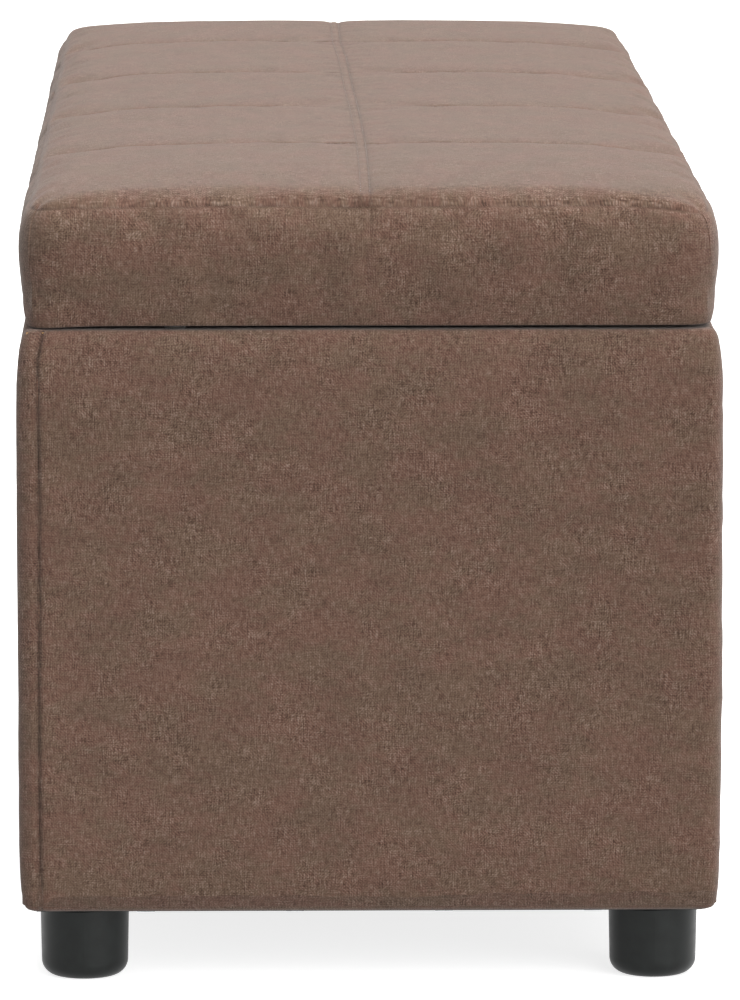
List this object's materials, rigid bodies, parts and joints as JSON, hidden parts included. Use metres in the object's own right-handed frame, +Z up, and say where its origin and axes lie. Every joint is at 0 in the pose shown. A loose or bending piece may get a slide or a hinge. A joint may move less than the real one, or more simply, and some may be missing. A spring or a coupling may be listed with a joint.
{
  "type": "storage bench",
  "caption": "Upholstered storage bench with a tufted foam seat as its hinged lid, gas-strut supports, a lined compartment and round plastic feet.",
  "frame": {"origin": "on the floor under the middle of the bench", "axes": "+X along the bench towards its right end, +Y towards the hinged back edge, -Y is the front, +Z up"},
  "size_m": [1.16, 0.4, 0.46],
  "materials": {
    "cover_fabric": "mottled linen-look weave",
    "wadding": "white polyester fibre",
    "seat_foam": "open-cell foam",
    "lining_cloth": "thin black non-woven",
    "dust_cloth": "black non-woven",
    "underside_cloth": "thin black non-woven",
    "panel_board": "raw fibreboard",
    "timber": "planed softwood",
    "foot_plastic": "satin black moulding",
    "zinc_steel": "bright zinc plate",
    "black_steel": "satin black paint",
    "bright_rod": "ground and polished",
    "black_nylon": "moulded nylon",
    "felt": "dense felt",
    "staple_wire": "galvanised wire"
  },
  "bodies": {
    "base": {"base_cover": "cover_fabric", "base_wadding": "wadding", "compartment_lining": "lining_cloth", "dust_cover": "dust_cloth", "front_panel": "panel_board", "back_panel": "panel_board", "left_end_panel": "panel_board", "right_end_panel": "panel_board", "floor_panel": "panel_board", "floor_rail_front": "timber", "floor_rail_back": "timber", "floor_cross_rail": "timber", "corner_block_front_left": "timber", "corner_block_front_right": "timber", "corner_block_back_left": "timber", "corner_block_back_right": "timber", "foot_front_left": "foot_plastic", "foot_front_right": "foot_plastic", "foot_back_left": "foot_plastic", "foot_back_right": "foot_plastic", "foot_studs": "zinc_steel", "foot_tee_nuts": "zinc_steel", "hinge_pins": "zinc_steel", "hinge_base_screws": "zinc_steel", "panel_screws": "zinc_steel", "floor_screws": "zinc_steel", "strut_base_screws": "zinc_steel", "hinge_base_leaf_left": "zinc_steel", "hinge_base_leaf_middle": "zinc_steel", "hinge_base_leaf_right": "zinc_steel", "strut_base_bracket_left": "black_steel", "strut_base_bracket_right": "black_steel", "base_staples": "staple_wire"},
    "lid": {"lid_board": "panel_board", "lid_foam": "seat_foam", "lid_wadding": "wadding", "lid_cover": "cover_fabric", "lid_underlining": "underside_cloth", "lid_staples": "staple_wire", "felt_pads": "felt", "hinge_lid_leaf_left": "zinc_steel", "hinge_lid_leaf_middle": "zinc_steel", "hinge_lid_leaf_right": "zinc_steel", "hinge_lid_screws": "zinc_steel", "strut_lid_bracket_left": "black_steel", "strut_lid_bracket_right": "black_steel", "strut_lid_screws": "zinc_steel"},
    "strut_tube_left": {"strut_lower_socket_left": "black_nylon", "strut_tube_left": "black_steel", "strut_gland_left": "black_nylon"},
    "strut_rod_left": {"strut_upper_socket_left": "black_nylon", "strut_rod_left": "bright_rod", "strut_piston_left": "bright_rod"},
    "strut_tube_right": {"strut_lower_socket_right": "black_nylon", "strut_tube_right": "black_steel", "strut_gland_right": "black_nylon"},
    "strut_rod_right": {"strut_upper_socket_right": "black_nylon", "strut_rod_right": "bright_rod", "strut_piston_right": "bright_rod"}
  },
  "joints": [
    {"name": "lid_hinge", "type": "hinge", "parent": "base", "child": "lid", "pos_m": [0, 0.1963, 0.37625], "axis": [-1, 0, 0], "range_deg": [0, 90]},
    {"name": "strut_tube_pivot_left", "type": "hinge", "parent": "base", "child": "strut_tube_left", "pos_m": [-0.5427, 0.14332, 0.16788], "axis": [-1, 0, 0], "range_deg": [0, 45]},
    {"name": "strut_rod_pivot_left", "type": "hinge", "parent": "lid", "child": "strut_rod_left", "pos_m": [-0.5427, -0.01824, 0.36225], "axis": [-1, 0, 0], "range_deg": [-45, 0]},
    {"name": "strut_tube_pivot_right", "type": "hinge", "parent": "base", "child": "strut_tube_right", "pos_m": [0.5427, 0.14332, 0.16788], "axis": [-1, 0, 0], "range_deg": [0, 45]},
    {"name": "strut_rod_pivot_right", "type": "hinge", "parent": "lid", "child": "strut_rod_right", "pos_m": [0.5427, -0.01824, 0.36225], "axis": [-1, 0, 0], "range_deg": [-45, 0]}
  ],
  "couplings": [
    {"joint": "strut_tube_pivot_left", "follows": "lid_hinge", "ratio": 0.5},
    {"joint": "strut_rod_pivot_left", "follows": "lid_hinge", "ratio": -0.5},
    {"joint": "strut_tube_pivot_right", "follows": "lid_hinge", "ratio": 0.5},
    {"joint": "strut_rod_pivot_right", "follows": "lid_hinge", "ratio": -0.5}
  ]
}
